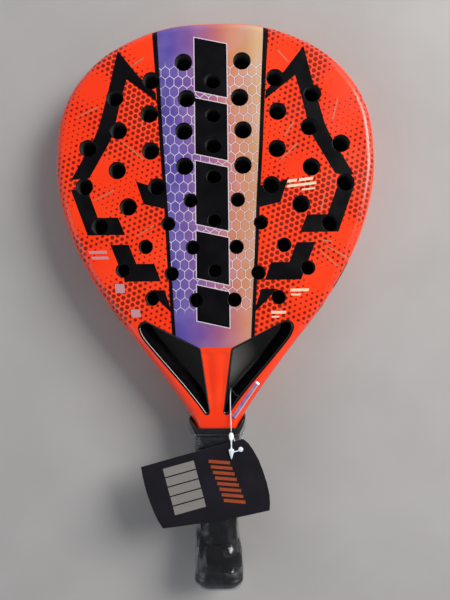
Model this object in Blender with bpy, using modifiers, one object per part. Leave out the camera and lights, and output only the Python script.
"""Padel racket, lying on its back face.

Frame of the model: metres, +Z up.  The back face rests on z = 0 and the front
face looks up along +Z.  The long axis is Y: the head points to +Y and the butt
to -Y.  X = 0 is the plane of symmetry and +X is the right side.  The origin is
on the back face, on the long axis, between two holes of the middle column.

Every dimension is in millimetres and is turned into metres by MM.
"""

import math

import bmesh
import bpy
from mathutils import Matrix, Vector

MM = 0.001

# ------------------------------------------------------ shared dimensions
THICKNESS = 38.0            # head, over both faces
MID_Z = THICKNESS / 2.0
NECK_Y = -184.6             # lower edge of the painted neck
BUTT_Y = -312.8             # flat end of the butt cap

FACE_T = 1.4                # laminate of one face with its paint
CORE_INSET = 13.4           # core and bridge, inside the outer edge

ARM_H_TOP = 37.8            # arms: thickness at the throat corners
ARM_H_NECK = 32.0           # and at the neck
ARM_TAPER_Y = -106.0        # where the strut's and sticker's height taper starts

# Tube ends and strut run on inside the handle
INSERT_TOP_Y = -185.3
INSERT_END_Y = -203.0
INSERT_H = 24.0

STRUT_TIP_Y = -171.5
STRUT_HALF_W_TOP = 12.3
STRUT_HALF_W_TIP = 6.5

# Handle shell: (y, half width, half height)
SHELL = [
    (-185.8, 15.6, 14.1), (-200.0, 15.2, 13.9), (-230.0, 13.6, 13.2), (-263.0, 12.5, 12.5),
    (-277.0, 12.7, 12.6), (-291.0, 14.0, 13.8), (-298.0, 14.4, 13.9), (-308.2, 14.4, 13.9),
]
SHELL_WALL = 1.5

# Edge of the throat bridge facing the head, right half: (x, y)
BRIDGE_TOP = [(0.0, -109.6), (15.0, -108.6), (50.0, -91.8)]

# ---------------------------------------------------------------- scene
for old in list(bpy.data.objects):
    bpy.data.objects.remove(old, do_unlink=True)

PARTS = bpy.data.collections.new("padel_racket")
CUTTERS = bpy.data.collections.new("cutters")
bpy.context.scene.collection.children.link(PARTS)
bpy.context.scene.collection.children.link(CUTTERS)


# ------------------------------------------------------------ materials
def material(name, colour, roughness, metallic=0.0):
    mat = bpy.data.materials.new(name)
    mat.use_nodes = True
    shader = mat.node_tree.nodes["Principled BSDF"]
    shader.inputs["Base Color"].default_value = (*colour, 1.0)
    shader.inputs["Roughness"].default_value = roughness
    shader.inputs["Metallic"].default_value = metallic
    mat.diffuse_color = (*colour, 1.0)
    return mat


ORANGE = material("paint_orange", colour=(0.60, 0.045, 0.014), roughness=0.28)
BLACK_GLOSS = material("carbon_black", colour=(0.012, 0.012, 0.014), roughness=0.22)
CORE_FOAM = material("eva_foam", colour=(0.035, 0.034, 0.036), roughness=0.85)
HANDLE_FOAM = material("pu_foam", colour=(0.55, 0.50, 0.38), roughness=0.9)
BACK_PAINT = material("paint_orange_back", colour=(0.56, 0.042, 0.014), roughness=0.30)
STRUT_PAINT = material("paint_orange_strut", colour=(0.62, 0.05, 0.016), roughness=0.26)
SHELL_CARBON = material("handle_carbon", colour=(0.02, 0.02, 0.022), roughness=0.45)
GRIP_BLACK = material("grip_black", colour=(0.016, 0.016, 0.018), roughness=0.62)
TAPE_BLACK = material("tape_black", colour=(0.02, 0.02, 0.022), roughness=0.4)
RUBBER = material("collar_rubber", colour=(0.014, 0.014, 0.016), roughness=0.55)
CAP_PLASTIC = material("butt_plastic", colour=(0.018, 0.018, 0.02), roughness=0.4)
PLUG_PLASTIC = material("plug_plastic", colour=(0.05, 0.05, 0.055), roughness=0.45)
WEBBING = material("strap_webbing", colour=(0.02, 0.02, 0.023), roughness=0.8)
SLIDER_PLASTIC = material("slider_plastic", colour=(0.03, 0.03, 0.033), roughness=0.35)
CLEAR_FILM = material("clear_film", colour=(0.80, 0.82, 0.84), roughness=0.08)
TAG_CARD = material("tag_card", colour=(0.012, 0.014, 0.024), roughness=0.38)
WHITE_STRING = material("string_white", colour=(0.86, 0.87, 0.88), roughness=0.4)
WHITE_LOCK = material("lock_white", colour=(0.88, 0.88, 0.88), roughness=0.35)
HOLOGRAM = material("hologram", colour=(0.55, 0.45, 0.60), roughness=0.2, metallic=0.8)


# --------------------------------------------------------- mesh helpers
def add_object(name, data, mat, collection=PARTS):
    obj = bpy.data.objects.new(name, data)
    collection.objects.link(obj)
    if mat is not None:
        data.materials.append(mat)
    return obj


def add_rings(shape, rings, origin=(0, 0, 0)):
    """Add the vertices of rings of (x, y, z) in mm, relative to origin."""
    origin_x, origin_y, origin_z = origin
    return [[shape.verts.new(((x - origin_x) * MM, (y - origin_y) * MM, (z - origin_z) * MM))
             for x, y, z in ring] for ring in rings]


def bridge_rings(shape, grid):
    """Join each ring of vertices to the next with quads."""
    count = len(grid[0])
    for near, far in zip(grid[:-1], grid[1:]):
        for i in range(count):
            j = (i + 1) % count
            shape.faces.new((near[i], near[j], far[j], far[i]))


def finish_mesh(shape, name, smooth=True):
    """Turn a bmesh with consistent normals into a mesh and free it."""
    bmesh.ops.recalc_face_normals(shape, faces=shape.faces[:])
    mesh = bpy.data.meshes.new(name)
    shape.to_mesh(mesh)
    shape.free()
    for poly in mesh.polygons:
        poly.use_smooth = smooth
    return mesh


def loft(name, rings, mat, closed=False, origin=(0, 0, 0), smooth=True):
    """Skin equal-length rings; closed joins last to first, otherwise the ends are capped."""
    shape = bmesh.new()
    grid = add_rings(shape, rings, origin)
    bridge_rings(shape, grid + grid[:1] if closed else grid)
    if not closed:
        shape.faces.new(grid[0])
        shape.faces.new(list(reversed(grid[-1])))
    obj = add_object(name, finish_mesh(shape, name, smooth), mat)
    obj.location = [value * MM for value in origin]
    return obj


def rounded_rect(y, half_w, half_h, radius, corner=3):
    """Ring in the plane y = const: a rectangle with corner points per rounded corner."""
    radius = min(radius, half_w * 0.98, half_h * 0.98)
    ring = []
    for quadrant, (side_x, side_z) in enumerate(((1, 1), (-1, 1), (-1, -1), (1, -1))):
        for k in range(corner):
            angle = math.radians(90.0 * quadrant + 90.0 * k / (corner - 1))
            ring.append((side_x * (half_w - radius) + radius * math.cos(angle), y,
                         MID_Z + side_z * (half_h - radius) + radius * math.sin(angle)))
    return ring


def sleeve(name, stations, wall, mat, radius):
    """Open tube: outer skin from the stations, inner skin one wall inside."""
    outer = [rounded_rect(y, w, h, radius) for y, w, h in stations]
    inner = [rounded_rect(y, w - wall, h - wall, radius - wall) for y, w, h in stations]
    return loft(name, outer + inner[::-1], mat, closed=True)


def flat_plate(name, outline, z_low, z_high, mat, holes=(), segments=12, origin=(0, 0)):
    """Filled 2D curve, extruded by half its thickness, with round holes (x, y, radius)."""
    curve = bpy.data.curves.new(name, "CURVE")
    curve.dimensions = "2D"
    curve.fill_mode = "BOTH"
    curve.extrude = (z_high - z_low) / 2.0 * MM
    loops = [outline]
    for hole_x, hole_y, radius in holes:
        angles = [2 * math.pi * k / segments for k in range(segments)]
        loops.append([(hole_x + radius * math.cos(angle), hole_y + radius * math.sin(angle))
                      for angle in angles])
    for loop in loops:
        spline = curve.splines.new("POLY")
        spline.points.add(len(loop) - 1)
        for point, (x, y) in zip(spline.points, loop):
            point.co = ((x - origin[0]) * MM, (y - origin[1]) * MM, 0.0, 1.0)
        spline.use_cyclic_u = True
    obj = add_object(name, curve, mat)
    obj.location = (origin[0] * MM, origin[1] * MM, (z_low + z_high) / 2.0 * MM)
    return obj


def centred_plate(name, outline, thickness, mat, holes=()):
    """Flat plate lying evenly about the mid plane of the racket."""
    return flat_plate(name, outline, MID_Z - thickness / 2.0, MID_Z + thickness / 2.0, mat, holes)


def wire(name, points, radius, mat, collection=PARTS):
    """Round wire along a polyline, with filled caps."""
    curve = bpy.data.curves.new(name, "CURVE")
    curve.dimensions = "3D"
    curve.bevel_depth = radius * MM
    curve.bevel_resolution = 1
    curve.use_fill_caps = True
    spline = curve.splines.new("POLY")
    spline.points.add(len(points) - 1)
    for point, (x, y, z) in zip(spline.points, points):
        point.co = (x * MM, y * MM, z * MM, 1.0)
    return add_object(name, curve, mat, collection)


# -------------------------------------------------------- value helpers
def ramp(y, y_start, y_end, v_start, v_end):
    """Linear change between two heights, held constant beyond them."""
    t = min(max((y - y_start) / (y_end - y_start), 0.0), 1.0)
    return v_start + (v_end - v_start) * t


def arm_height(y):
    """Thickness of the strut and of the arm under the sticker."""
    return ramp(y, ARM_TAPER_Y, NECK_Y, ARM_H_TOP, ARM_H_NECK)


def interpolate(stations, y):
    """Half width and half height at y, from a list of (y, half width, half height)."""
    if y >= stations[0][0]:
        return stations[0][1:]
    for (y0, w0, h0), (y1, w1, h1) in zip(stations[:-1], stations[1:]):
        if y >= y1:
            t = (y0 - y) / (y0 - y1)
            return w0 + (w1 - w0) * t, h0 + (h1 - h0) * t
    return stations[-1][1:]


def grown_stations(stations, heights, extra):
    """Stations at the given y, with both half sizes grown by extra."""
    grown = []
    for y in heights:
        half_w, half_h = interpolate(stations, y)
        grown.append((y, half_w + extra, half_h + extra))
    return grown


def smooth_path(points, steps):
    """Catmull-Rom curve through the points, ends held."""
    knots = [Vector(p) for p in points]
    extended = [knots[0] * 2 - knots[1]] + knots + [knots[-1] * 2 - knots[-2]]
    path = []
    for i in range(len(knots) - 1):
        p0, p1, p2, p3 = extended[i:i + 4]
        for k in range(steps):
            t = k / steps
            path.append(0.5 * ((2 * p1) + (p2 - p0) * t
                               + (2 * p0 - 5 * p1 + 4 * p2 - p3) * t * t
                               + (3 * p1 - p0 - 3 * p2 + p3) * t ** 3))
    path.append(knots[-1])
    return path


def resample(points, count):
    """Points at count equal steps along a polyline."""
    run = [0.0]
    for start, end in zip(points[:-1], points[1:]):
        run.append(run[-1] + (end - start).length)
    sampled = []
    j = 0
    for k in range(count + 1):
        want = run[-1] * k / count
        while j < len(run) - 2 and run[j + 1] < want:
            j += 1
        span = run[j + 1] - run[j]
        t = (want - run[j]) / span if span > 1e-9 else 0.0
        sampled.append(points[j].lerp(points[j + 1], min(max(t, 0.0), 1.0)))
    return sampled


# -------------------------------------------------------- racket outline
# Outer edge of the frame, right half, from the tip of the head to the neck: (x, y)
OUTLINE = [
    (0.0, 141.7), (28.0, 140.6), (54.0, 134.8), (78.5, 124.4), (95.5, 113.0),
    (110.0, 97.6), (120.0, 81.5), (126.4, 62.5), (129.0, 37.0), (128.2, 13.0),
    (122.2, -15.0), (112.5, -41.0), (99.8, -65.5), (84.2, -89.5),
    (64.4, -114.5), (46.2, -138.5), (34.0, -155.2), (24.6, -169.0),
    (19.6, -178.4), (18.4, -184.2),
]
OUTLINE_STEPS = 24          # curve steps between two outline points
OFFSET_SAMPLES = 96


def outline_curve():
    """Dense right half of the outer edge; a mirrored point keeps the tip level."""
    mirrored = [(-OUTLINE[1][0], OUTLINE[1][1])] + OUTLINE
    dense = smooth_path([(x, y, 0.0) for x, y in mirrored], OUTLINE_STEPS)
    return [Vector((max(p.x, 0.0), p.y)) for p in dense[OUTLINE_STEPS:]]


EDGE = outline_curve()


def inward(points, i):
    """Unit normal towards the inside of the outline at point i."""
    if i == 0:
        return Vector((0.0, -1.0))
    along = (points[min(i + 1, len(points) - 1)] - points[i - 1]).normalized()
    return Vector((along.y, -along.x))


def offset_outline(inset, y_low, count):
    """Right half of the outline moved inwards, down to the height y_low."""
    points = resample(EDGE, OFFSET_SAMPLES)
    moved = [p + inward(points, i) * inset for i, p in enumerate(points)]
    moved[0] = Vector((0.0, moved[0].y))
    return resample([p for p in moved if p.y > y_low], count)


def mirror_loop(right_half):
    """Close a right half, which starts and ends on the long axis, into a loop."""
    right = [(p[0], p[1]) for p in right_half]
    left = [(-x, y) for x, y in reversed(right) if x > 0.01]
    return right + left


# ------------------------------------------------------------ frame tube
TUBE_STEPS = 27             # equal steps of the frame tube on one half
GLUE_GAP = 0.1              # between laminate and tube
TUBE_H_HEAD = THICKNESS - 2 * (FACE_T + GLUE_GAP)
TUBE_WALL = 1.5
TUBE_W_HEAD = 13.0
TUBE_W_ARM = 10.6
TUBE_NARROW_Y = (-90.0, -106.0)     # width changes from head to arm
TUBE_STEP_Y = (-108.0, -112.0)      # tube steps up to full height below the faces
STEP_CLEARANCE = 2.5                # regular stations this close to a step are dropped
TUBE_BEVEL_IN = 9.0         # rounding of the outer edge, measured inwards
TUBE_BEVEL_Z = 10.0         # and measured down the side wall
TUBE_BEVEL_SHARE = 0.69     # largest rounding, as a share of the width
TUBE_CORNER = 1.4           # chamfer of the inner edge, outside skin
TUBE_CORNER_INNER = 0.55    # and inside skin
ARM_BULGE = 3.6             # inner wall of the throat swells at mid height
BULGE_GROW_Y = (-108.0, -116.0)
BULGE_FADE_Y = (-158.0, -172.0)
STRUT_CONTACT_Y = -172.0    # below this the tube fills the space beside the strut
STRUT_GAP = 0.35
INSERT_X = 13.2             # outer side of the tube end inside the handle
INSERT_WALL = 1.0


def tube_section(width, half_h, bevel_in, bevel_z, bulge, corner, shift=0.0):
    """Right-hand section as (distance inwards, height from mid plane)."""
    top = [
        (0.0, half_h - bevel_z),
        # points of the rounding at 30 and 60 degrees
        (0.134 * bevel_in, half_h - 0.5 * bevel_z),
        (0.5 * bevel_in, half_h - 0.134 * bevel_z),
        (bevel_in, half_h),
        (width - corner, half_h),
        (width, half_h - corner),
        (width + bulge * 0.78, half_h * 0.45),
    ]
    section = top + [(width + bulge, 0.0)] + [(d, -h) for d, h in reversed(top)]
    return [(d + shift, h) for d, h in section]


def tube_station(edge_point, normal, width, height, bulge, wall):
    """Outer and inner ring at one station of the frame tube."""
    half_h = height / 2.0
    bevel_in = min(TUBE_BEVEL_IN, TUBE_BEVEL_SHARE * width)
    bevel_z = TUBE_BEVEL_Z * height / THICKNESS
    outer = tube_section(width, half_h, bevel_in, bevel_z, bulge, TUBE_CORNER)
    inner = tube_section(width - 2 * wall, half_h - wall, bevel_in - 0.85 * wall,
                         bevel_z - 0.7 * wall, bulge, TUBE_CORNER_INNER, shift=wall)
    return [[(edge_point.x + normal.x * d, edge_point.y + normal.y * d, MID_Z + h)
             for d, h in section] for section in (outer, inner)]


def tube_points():
    """Stations along the outer edge, with two close ones where the height steps."""
    points = resample(EDGE, TUBE_STEPS)
    for step_y in TUBE_STEP_Y:
        near = min(EDGE, key=lambda q: abs(q.y - step_y))
        points = [q for q in points if abs(q.y - near.y) > STEP_CLEARANCE] + [near]
    return sorted(points, key=lambda q: (-q.y, q.x))


def build_frame_tube():
    """Hollow tube of the head and arms; the left half is mirrored."""
    stations = []
    points = tube_points()
    for i, p in enumerate(points):
        normal = inward(points, i)
        width = ramp(p.y, *TUBE_NARROW_Y, TUBE_W_HEAD, TUBE_W_ARM)
        if p.y < STRUT_CONTACT_Y:
            width = (p.x - STRUT_HALF_W_TIP - STRUT_GAP) / max(-normal.x, 0.5)
        height = min(ramp(p.y, *TUBE_STEP_Y, TUBE_H_HEAD, ARM_H_TOP),
                     ramp(p.y, TUBE_STEP_Y[1], NECK_Y, ARM_H_TOP, ARM_H_NECK))
        bulge = min(ramp(p.y, *BULGE_GROW_Y, 0.0, ARM_BULGE),
                    ramp(p.y, *BULGE_FADE_Y, ARM_BULGE, 0.0))
        stations.append(tube_station(p, normal, width, height, bulge, TUBE_WALL))
    # the tip rings lie exactly on the mirror plane
    stations[0] = [[(0.0, y, z) for _, y, z in ring] for ring in stations[0]]
    # the end of each arm steps in and runs on inside the handle
    insert_w = INSERT_X - STRUT_HALF_W_TIP - STRUT_GAP
    for y in (INSERT_TOP_Y, (INSERT_TOP_Y + INSERT_END_Y) / 2.0, INSERT_END_Y):
        stations.append(tube_station(Vector((INSERT_X, y)), Vector((-1.0, 0.0)),
                                     insert_w, INSERT_H, 0.0, INSERT_WALL))

    shape = bmesh.new()
    outer = add_rings(shape, [station[0] for station in stations])
    inner = add_rings(shape, [station[1] for station in stations])
    for grid in (outer, inner, [outer[-1], inner[-1]]):
        bridge_rings(shape, grid)
    tube = add_object("frame_tube", finish_mesh(shape, "frame_tube"), ORANGE)
    mirror = tube.modifiers.new("both_sides", "MIRROR")
    mirror.use_axis = (True, False, False)
    mirror.use_clip = True
    mirror.merge_threshold = 0.05 * MM


# ----------------------------------------------- faces, core and bridge
FACE_INSET = 8.8
FACE_EDGE_END_Y = -97.5     # where the offset outline gives way to FACE_BOTTOM
# Lower edge of the faces, right half: (x, y)
FACE_BOTTOM = [(64.6, -100.2), (59.6, -98.5), (15.3, -119.9), (12.4, -121.2), (0.0, -121.6)]

CORE_T = 34.8
CORE_EDGE_END_Y = -80.0
CORE_BRIDGE_GAP = 0.4

BRIDGE_T = 34.6
BRIDGE_EDGE_Y = (-84.0, -101.0)     # its end point is the first one in this span
BRIDGE_CORNER = (61.0, -99.6)
# Edge of the bridge facing the handle, right half: (x, y)
BRIDGE_BOTTOM = [(59.0, -98.9), (15.3, -120.2), (12.4, -121.5), (0.0, -121.9)]

# Drilled holes: (x, y) of the right-hand one of each pair, by radius
HOLE_PAIRS = {
    6.5: [
        (23.3, 108.2), (49.4, 94.1), (78.8, 80.8), (21.1, 79.0), (51.1, 67.3),
        (76.0, 54.5), (23.5, 52.9), (100.5, 40.6), (50.3, 37.6), (23.1, 24.9),
        (77.2, 22.5), (103.7, 9.8), (45.6, 8.8), (68.6, -6.8), (91.5, -22.1),
    ],
    5.25: [
        (18.7, -2.6), (36.8, -20.9), (54.9, -39.0), (17.3, -40.0), (73.4, -57.3),
        (34.4, -60.7), (50.1, -80.2), (15.1, -81.8),
    ],
}
# Holes on the long axis: (y, radius)
HOLES_MIDDLE = [(93.1, 6.4), (65.7, 5.9), (41.4, 6.4), (16.7, 5.9), (-18.3, 5.4), (-58.5, 5.25)]


def all_holes():
    holes = [(side * x, y, radius) for radius, pairs in HOLE_PAIRS.items()
             for x, y in pairs for side in (1, -1)]
    return holes + [(0.0, y, radius) for y, radius in HOLES_MIDDLE]


def build_faces_and_core():
    holes = all_holes()
    face = mirror_loop(offset_outline(FACE_INSET, FACE_EDGE_END_Y, 30)
                       + [Vector(p) for p in FACE_BOTTOM])
    flat_plate("front_face", face, THICKNESS - FACE_T, THICKNESS, ORANGE, holes)
    flat_plate("back_face", face, 0.0, FACE_T, BACK_PAINT, holes)

    core_right = offset_outline(CORE_INSET, CORE_EDGE_END_Y, 26)
    core_right += [(x, y + CORE_BRIDGE_GAP) for x, y in reversed(BRIDGE_TOP)]
    centred_plate("foam_core", mirror_loop(core_right), CORE_T, CORE_FOAM, holes)


def build_throat_bridge():
    """Black cross-piece between the core and the throat openings."""
    edge = offset_outline(CORE_INSET, BRIDGE_EDGE_Y[1], 60)
    end_point = next(p for p in edge if p.y < BRIDGE_EDGE_Y[0])
    right = BRIDGE_TOP + [(end_point.x, end_point.y), BRIDGE_CORNER] + BRIDGE_BOTTOM
    centred_plate("throat_bridge", mirror_loop(right), BRIDGE_T, BLACK_GLOSS)


# ---------------------------------------------------------- throat strut
STRUT_TOP_Y = -122.4
STRUT_YS = (STRUT_TOP_Y, -130.0, -140.0, -150.0, -160.0, STRUT_TIP_Y, -178.0, -184.4)
STRUT_INSERT_YS = (INSERT_TOP_Y, -194.0, INSERT_END_Y)
STRUT_INSERT_INSET = 0.2    # strut narrows by this per side inside the handle
STRUT_INSERT_GROOVE = 0.2
GROOVE_Y = (-125.0, -171.0)
GROOVE_DEPTH = (0.7, 0.3)   # depth of the flutes at those two heights


def strut_ring(y, half_w, half_h, groove):
    """Section of the strut: flat sides, rounded shoulders, two shallow flutes."""
    right = [(half_w, half_h - 4.5), (half_w * 0.93, half_h - 1.3), (half_w * 0.72, half_h),
             (half_w * 0.42, half_h - groove)]
    top = right + [(0.0, half_h - groove * 0.2)] + [(-x, z) for x, z in reversed(right)]
    section = top + [(x, -z) for x, z in reversed(top)]
    return [(x, y, MID_Z + z) for x, z in section]


def build_throat_strut():
    rings = []
    for y in STRUT_YS:
        half_w = ramp(y, STRUT_TOP_Y, STRUT_TIP_Y, STRUT_HALF_W_TOP, STRUT_HALF_W_TIP)
        groove = ramp(y, *GROOVE_Y, *GROOVE_DEPTH)
        rings.append(strut_ring(y, half_w, arm_height(y) / 2.0, groove))
    for y in STRUT_INSERT_YS:
        rings.append(strut_ring(y, STRUT_HALF_W_TIP - STRUT_INSERT_INSET, INSERT_H / 2.0,
                                STRUT_INSERT_GROOVE))
    loft("throat_strut", rings, STRUT_PAINT)


# ---------------------------------------------------------------- handle
SHELL_RADIUS = 6.0
FOAM_YS = (-203.6, -230.0, -263.0, -277.0, -291.0, -305.6)
FOAM_GAP = 0.3
FOAM_RADIUS = 4.0

GRIP_YS = (-189.8, -200.0, -215.0, -230.0, -247.0, -263.0, -277.0, -291.0, -296.6)
GRIP_T = 1.9
GRIP_GAP = 0.2
GRIP_RADIUS = 8.0
GRIP = grown_stations(SHELL, GRIP_YS, GRIP_GAP + GRIP_T)

TAPE_YS = (-190.2, -200.0, -202.4)
TAPE_T = 0.4
TAPE_GAP = 0.15

# Collar rings: (y on front and back, y at the sides, half width, half height, radius)
COLLAR = [
    # outer skin, downwards
    (-184.9, -176.2, 22.5, 17.5, 7.0),
    (-186.6, -182.0, 21.3, 17.4, 7.5),
    (-189.4, -189.4, 18.4, 16.7, 8.0),
    # inner skin, upwards
    (-189.4, -189.4, 16.2, 14.7, 6.5),
    (-187.0, -187.0, 16.4, 14.9, 6.5),
    (-185.9, -182.6, 19.8, 16.5, 5.5),
    (-184.9, -176.6, 21.5, 16.75, 5.5),
]
COLLAR_SIDE_START = 0.72    # share of the half width where the edge begins to rise


def build_handle():
    """Carbon shell, its foam filling, the grip and the tape round the grip's top."""
    sleeve("handle_shell", SHELL, SHELL_WALL, SHELL_CARBON, SHELL_RADIUS)
    foam = grown_stations(SHELL, FOAM_YS, -SHELL_WALL - FOAM_GAP)
    loft("handle_foam", [rounded_rect(*station, FOAM_RADIUS) for station in foam], HANDLE_FOAM)
    sleeve("grip_wrap", GRIP, GRIP_T, GRIP_BLACK, GRIP_RADIUS)
    tape = grown_stations(GRIP, TAPE_YS, TAPE_GAP + TAPE_T)
    sleeve("finishing_tape", tape, TAPE_T, TAPE_BLACK, GRIP_RADIUS + TAPE_T)


def collar_ring(y_face, y_side, half_w, half_h, radius):
    """Rounded ring whose edge stands higher at the two sides."""
    ring = []
    for x, _, z in rounded_rect(0.0, half_w, half_h, radius, corner=5):
        side = (abs(x) / half_w - COLLAR_SIDE_START) / (1.0 - COLLAR_SIDE_START)
        side = min(max(side, 0.0), 1.0)
        blend = side * side * (3 - 2 * side)
        ring.append((x, y_face + (y_side - y_face) * blend, z))
    return ring


def build_grip_collar():
    loft("grip_collar", [collar_ring(*row) for row in COLLAR], RUBBER, closed=True)


# ---------------------------------------------------- butt cap and plug
CAP_TOP_Y = -297.0
CAP_FLOOR_Y = -309.0        # bottom of the pocket that takes the shell
CAP_GAP = 0.25              # between pocket and shell
PLUG_HOLE_R = 3.0
# Outside of the cap: (y, half width, half height, radius)
CAP_OUTSIDE = [
    (CAP_TOP_Y, 17.2, 16.6, 8.0), (-300.0, 18.6, 17.6, 9.0), (-303.6, 19.4, 18.2, 10.0),
    (-307.0, 19.0, 17.8, 10.5), (-310.0, 17.0, 15.8, 10.5), (-312.0, 13.6, 12.4, 9.5),
    (BUTT_Y, 9.2, 8.2, 7.0),
]
# Turned profile of the plug: (radius, y)
PLUG_PROFILE = [
    (0.0, -312.6), (2.2, -312.6), (2.65, -312.0), (2.65, -308.7), (6.0, -308.7),
    (6.2, -308.2), (6.0, -306.4), (0.0, -306.4),
]


def build_butt_cap():
    """Cap with a pocket for the shell end and a hole through its floor."""
    _, shell_w, shell_h = SHELL[-1]
    pocket_w = shell_w + CAP_GAP
    pocket_h = shell_h + CAP_GAP
    hole = (PLUG_HOLE_R, PLUG_HOLE_R, PLUG_HOLE_R)
    rows = [
        (CAP_FLOOR_Y, *hole),
        (CAP_FLOOR_Y, shell_w - 1.0, shell_h - 1.0, 5.6),
        (-308.6, pocket_w, pocket_h, 6.2),
        (CAP_TOP_Y, pocket_w, pocket_h, 6.2),
        *CAP_OUTSIDE,
        (BUTT_Y, *hole),
    ]
    loft("butt_cap", [rounded_rect(*row, corner=4) for row in rows], CAP_PLASTIC, closed=True)


def build_strap_plug():
    """Plug in the cap's hole: a Screw modifier turns its profile about the handle's axis."""
    mesh = bpy.data.meshes.new("strap_plug")
    mesh.from_pydata([(radius * MM, (y - CAP_FLOOR_Y) * MM, 0.0) for radius, y in PLUG_PROFILE],
                     [(i, i + 1) for i in range(len(PLUG_PROFILE) - 1)], [])
    plug = add_object("strap_plug", mesh, PLUG_PLASTIC)
    plug.location = (0.0, CAP_FLOOR_Y * MM, MID_Z * MM)
    turn = plug.modifiers.new("turn", "SCREW")
    turn.axis = "Y"
    turn.steps = 16
    turn.render_steps = 16
    turn.use_merge_vertices = True
    turn.merge_threshold = 0.05 * MM
    turn.use_normal_calculate = True


# ------------------------------------- wrist strap round the lower grip
STRAP_W = 11.2
STRAP_T = 1.5
STRAP_CROWN = 0.25          # extra thickness along the middle
STRAP_GAP = 0.35
STRAP_START_Y = -290.6
STRAP_END_Y = -277.3
STRAP_START_ANGLE = -150.0
STRAP_TURNS = 1.08
STRAP_STEPS = 36

SLIDER_SIZE = (1.7, 13.0, 7.0)
SLIDER_Y = STRAP_END_Y
SLIDER_GAP = 0.3
SLIDER_GRIP_Y = SLIDER_Y - 5.0      # where the grip's width is taken for the slider


def around_grip(y, extra, angle):
    """(x, height from mid plane) extra mm outside the grip, at an angle about Y."""
    half_w, half_h = (half + extra for half in interpolate(GRIP, y))
    radius = GRIP_RADIUS + extra
    cosine, sine = math.cos(angle), math.sin(angle)
    # bisect for the distance at which the ray leaves the rounded rectangle
    low, high = 0.0, 60.0
    for _ in range(40):
        middle = (low + high) / 2.0
        x, z = abs(cosine * middle), abs(sine * middle)
        corner_x, corner_z = x - (half_w - radius), z - (half_h - radius)
        if corner_x > 0 and corner_z > 0:
            inside = math.hypot(corner_x, corner_z) < radius
        else:
            inside = x < half_w and z < half_h
        low, high = (middle, high) if inside else (low, middle)
    return cosine * low, sine * low


def build_wrist_strap():
    outside = STRAP_GAP + STRAP_T
    # (distance along Y from the strap's middle, distance from the grip)
    section = [
        (-STRAP_W / 2, STRAP_GAP), (-STRAP_W / 2, outside), (0.0, outside + STRAP_CROWN),
        (STRAP_W / 2, outside), (STRAP_W / 2, STRAP_GAP), (0.0, STRAP_GAP),
    ]
    rings = []
    for k in range(STRAP_STEPS + 1):
        t = k / STRAP_STEPS
        angle = math.radians(STRAP_START_ANGLE) + 2 * math.pi * STRAP_TURNS * t
        middle_y = STRAP_START_Y + (STRAP_END_Y - STRAP_START_Y) * t
        ring = []
        for along, extra in section:
            x, z = around_grip(middle_y + along, extra, angle)
            ring.append((x, middle_y + along, MID_Z + z))
        rings.append(ring)
    loft("wrist_strap", rings, WEBBING)


def build_strap_slider():
    """Rounded clip on the left side of the strap."""
    shape = bmesh.new()
    scale = Matrix.Diagonal((*(size * MM for size in SLIDER_SIZE), 1.0))
    bmesh.ops.create_cube(shape, size=1.0, matrix=scale)
    mesh = finish_mesh(shape, "strap_slider", smooth=False)
    slider = add_object("strap_slider", mesh, SLIDER_PLASTIC)
    inner_x = (interpolate(GRIP, SLIDER_GRIP_Y)[0] + STRAP_GAP + STRAP_T + STRAP_CROWN
               + SLIDER_GAP)
    slider.location = (-(inner_x + SLIDER_SIZE[0] / 2.0) * MM, SLIDER_Y * MM, MID_Z * MM)
    edge = slider.modifiers.new("round", "BEVEL")
    edge.width = 0.6 * MM
    edge.segments = 2


# ----------------------------------------- clear film sleeve of the handle
# Outside of the film: (y, half width, half height)
FILM = [
    (-179.2, 23.6, 18.2), (-190.0, 21.9, 18.0), (-203.0, 20.4, 17.8), (-230.0, 18.9, 17.3),
    (-262.0, 19.7, 17.6), (-277.0, 20.4, 18.3), (-292.0, 20.4, 18.7), (-303.0, 20.4, 18.85),
    (-307.2, 20.0, 18.6), (-310.4, 18.2, 17.0), (-312.5, 15.0, 13.8), (-313.5, 10.2, 9.2),
]
FILM_T = 0.25


def film_radius(y):
    return ramp(y, -190.0, -205.0, 7.0, 11.0) if y > -310.0 else 9.0


def build_handle_film():
    """Thin bag, open towards the head and closed at the butt."""
    outer = [rounded_rect(y, w, h, film_radius(y), corner=5) for y, w, h in FILM]
    inner = []
    for y, half_w, half_h in FILM:
        floor = FILM_T if y == FILM[-1][0] else 0.0
        inner.append(rounded_rect(y + floor, half_w - FILM_T, half_h - FILM_T,
                                  film_radius(y) - 0.2, corner=5))
    loft("handle_film", outer[::-1] + inner, CLEAR_FILM)


# ------------------------------------------ hang tag, fastener and string
TAG_Z = 39.3
TAG_T = 0.6
TAG_EYE = (18.6, -198.7)
TAG_EYE_R = 1.8
TAG_OUTLINE = [
    (-60.1, -213.2), (20.4, -192.9), (24.6, -196.4), (28.1, -201.1), (32.4, -209.0),
    (36.0, -218.6), (38.9, -227.4), (41.0, -236.0), (41.3, -242.4), (40.8, -248.6),
    (25.0, -252.0), (9.2, -255.1), (-4.5, -258.2), (-14.8, -258.6), (-29.0, -259.9),
    (-43.8, -261.3), (-47.4, -255.8), (-50.4, -249.4), (-53.0, -242.8), (-55.6, -235.0),
    (-57.5, -227.4), (-59.1, -220.0),
]

FASTENER_ORIGIN = (11.3, -186.4, 37.9)
# Body of the fastener: (y, z, half width, half height)
FASTENER = [
    (-186.2, 38.05, 1.0, 0.4), (-187.2, 38.35, 2.0, 0.5), (-192.6, 40.4, 2.0, 0.5),
    (-194.4, 40.6, 0.65, 0.5), (-201.4, 40.6, 0.6, 0.5), (-201.9, 40.75, 1.9, 0.85),
    (-204.0, 40.75, 1.9, 0.85), (-209.0, 40.6, 0.45, 0.4),
]
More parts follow.
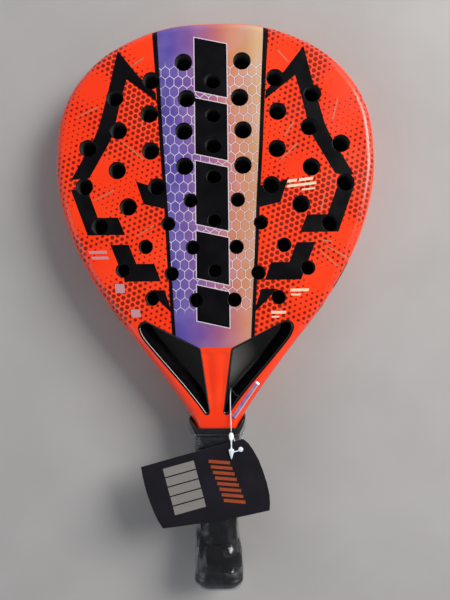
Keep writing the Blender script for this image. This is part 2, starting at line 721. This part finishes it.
# Bar from the body into the tag's eye
BAR_R = 0.45
BAR_PATH = [
    (FASTENER_ORIGIN[0] + 0.2, -203.0, 40.75), (14.0, -202.6, 40.75), (17.2, -200.4, 40.8),
    (*TAG_EYE, 40.4), (*TAG_EYE, 38.6),
]

STRING_R = 0.5
STRING_PATH = [
    (11.3, -185.4, 38.0), (11.2, -181.0, 38.05), (11.0, -177.6, 37.8), (10.6, -173.5, 36.8),
    (9.9, -170.0, 36.2), (9.3, -165.8, 34.4), (9.0, -162.0, 28.0), (9.0, -160.6, 19.0),
    (9.0, -161.6, 9.0), (9.4, -164.6, 2.2), (12.6, -168.6, 1.0), (18.0, -169.2, 0.95),
    (24.2, -170.2, 1.4), (27.2, -172.0, 6.0), (27.8, -174.6, 13.0), (27.2, -178.2, 22.0),
    (26.2, -182.4, 30.0), (24.0, -186.6, 35.6), (20.8, -190.6, 37.95), (18.9, -193.6, 38.1),
]


def build_hang_tag():
    flat_plate("hang_tag", TAG_OUTLINE, TAG_Z - TAG_T / 2, TAG_Z + TAG_T / 2, TAG_CARD,
               [(*TAG_EYE, TAG_EYE_R)], segments=16, origin=TAG_EYE)


def fastener_ring(y, z, half_w, half_h):
    angles = [math.radians(a) for a in range(0, 360, 45)]
    return [(FASTENER_ORIGIN[0] + half_w * math.cos(angle), y, z + half_h * math.sin(angle))
            for angle in angles]


def fastener_bar():
    """Hidden solid of the bar: a wire turned into a mesh with its caps welded on."""
    bar = wire("fastener_bar", BAR_PATH, BAR_R, None, CUTTERS)
    depsgraph = bpy.context.evaluated_depsgraph_get()
    mesh = bpy.data.meshes.new_from_object(bar.evaluated_get(depsgraph))
    shape = bmesh.new()
    shape.from_mesh(mesh)
    bmesh.ops.remove_doubles(shape, verts=shape.verts[:], dist=0.01 * MM)
    bmesh.ops.recalc_face_normals(shape, faces=shape.faces[:])
    shape.to_mesh(mesh)
    shape.free()
    bpy.data.objects.remove(bar, do_unlink=True)
    solid = add_object("fastener_bar_solid", mesh, None, CUTTERS)
    solid.hide_render = True
    solid.display_type = "WIRE"
    return solid


def build_tag_fastener():
    fastener = loft("tag_fastener", [fastener_ring(*row) for row in FASTENER], WHITE_LOCK,
                    origin=FASTENER_ORIGIN)
    join = fastener.modifiers.new("bar", "BOOLEAN")
    join.operation = "UNION"
    join.solver = "EXACT"
    join.object = fastener_bar()


def build_tag_string():
    """String looped round the right arm."""
    wire("tag_string", smooth_path(STRING_PATH, 2), STRING_R, WHITE_STRING)


# ----------------------------------------- hologram strip, right arm
STICKER_ENDS = [(13.9, -175.4), (34.4, -147.4)]
STICKER_W = 4.6
STICKER_T = 0.2
STICKER_LIFT = 0.12         # above the arm's surface


def build_arm_sticker():
    start, end = (Vector((x, y, MID_Z + arm_height(y) / 2.0 + STICKER_LIFT))
                  for x, y in STICKER_ENDS)
    along = (end - start).normalized()
    across = Vector((0, 0, 1)).cross(along).normalized()
    outward = along.cross(across).normalized()
    rings = []
    for centre in (start, start.lerp(end, 0.5), end):
        rings.append([centre + across * (u * STICKER_W) + outward * (v * STICKER_T)
                      for u, v in ((-0.5, 0.0), (0.5, 0.0), (0.5, 1.0), (-0.5, 1.0))])
    loft("arm_sticker", rings, HOLOGRAM, smooth=False)


# ----------------------------------------------------------------- build
build_frame_tube()
build_faces_and_core()
build_throat_bridge()
build_throat_strut()
build_handle()
build_grip_collar()
build_butt_cap()
build_strap_plug()
build_wrist_strap()
build_strap_slider()
build_handle_film()
build_hang_tag()
build_tag_fastener()
build_tag_string()
build_arm_sticker()
